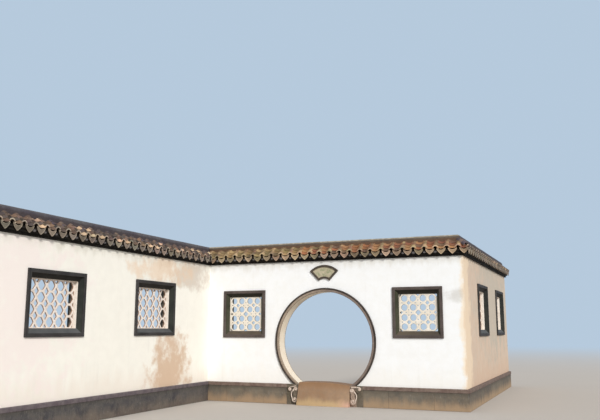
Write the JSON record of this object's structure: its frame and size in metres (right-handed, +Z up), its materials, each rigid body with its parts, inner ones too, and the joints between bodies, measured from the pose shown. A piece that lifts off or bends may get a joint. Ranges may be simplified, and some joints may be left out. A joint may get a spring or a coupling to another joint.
{
  "type": "moon gate",
  "caption": "Whitewashed garden wall with a round moon gate, fan plaque, pierced lattice windows, plinth and tiled coping, with a wing wall and a return wall at its corners",
  "frame": {"origin": "on the ground in the plane of the front wall's face, below the middle of the round opening", "axes": "+X right along the front wall, +Y away from the viewer through the gate, +Z up"},
  "size_m": [6.535, 13.355, 3.56],
  "materials": {
    "limewash": "matt limewashed render over brick, with faint stains",
    "plinth_stone": "rough grey-brown render, weathered",
    "grey_brick": "matt dark grey-brown fired clay",
    "lining_stone": "smooth cream stone",
    "foot_stone": "carved grey-brown stone",
    "threshold_stone": "worn tan stone",
    "plaque_stone": "mottled beige-green stone",
    "tracery_lime": "matt limewashed tracery",
    "eave_brick": "dark grey brick",
    "roof_tile": "weathered grey and terracotta roof tile",
    "ridge_mortar": "dark grey weathered mortar"
  },
  "bodies": {
    "root": {"eave_course_front": "eave_brick", "eave_course_return": "eave_brick", "eave_course_wing": "eave_brick", "fan_plaque_frame": "grey_brick", "fan_plaque_panel": "plaque_stone", "foot_stone_left": "foot_stone", "foot_stone_right": "foot_stone", "moon_lining": "lining_stone", "moon_ring_back": "grey_brick", "moon_ring_front": "grey_brick", "plinth_front_left": "plinth_stone", "plinth_front_right": "plinth_stone", "plinth_return": "plinth_stone", "plinth_wing": "plinth_stone", "ridge_front": "ridge_mortar", "ridge_return": "ridge_mortar", "ridge_wing": "ridge_mortar", "threshold": "threshold_stone", "tile_bed_front": "roof_tile", "tile_bed_return": "roof_tile", "tile_bed_wing": "roof_tile", "wall_front_left": "limewash", "wall_front_right": "limewash", "wall_gate_bay": "limewash", "wall_return": "limewash", "wall_wing": "limewash", "window_frame_front_left": "grey_brick", "window_frame_front_left_back": "grey_brick", "window_frame_front_right": "grey_brick", "window_frame_front_right_back": "grey_brick", "window_frame_return_1": "grey_brick", "window_frame_return_1_back": "grey_brick", "window_frame_return_2": "grey_brick", "window_frame_return_2_back": "grey_brick", "window_frame_wing_1": "grey_brick", "window_frame_wing_1_back": "grey_brick", "window_frame_wing_2": "grey_brick", "window_frame_wing_2_back": "grey_brick", "window_panel_front_left": "tracery_lime", "window_panel_front_right": "tracery_lime", "window_panel_return_1": "tracery_lime", "window_panel_return_2": "tracery_lime", "window_panel_wing_1": "tracery_lime", "window_panel_wing_2": "tracery_lime"}
  },
  "joints": []
}
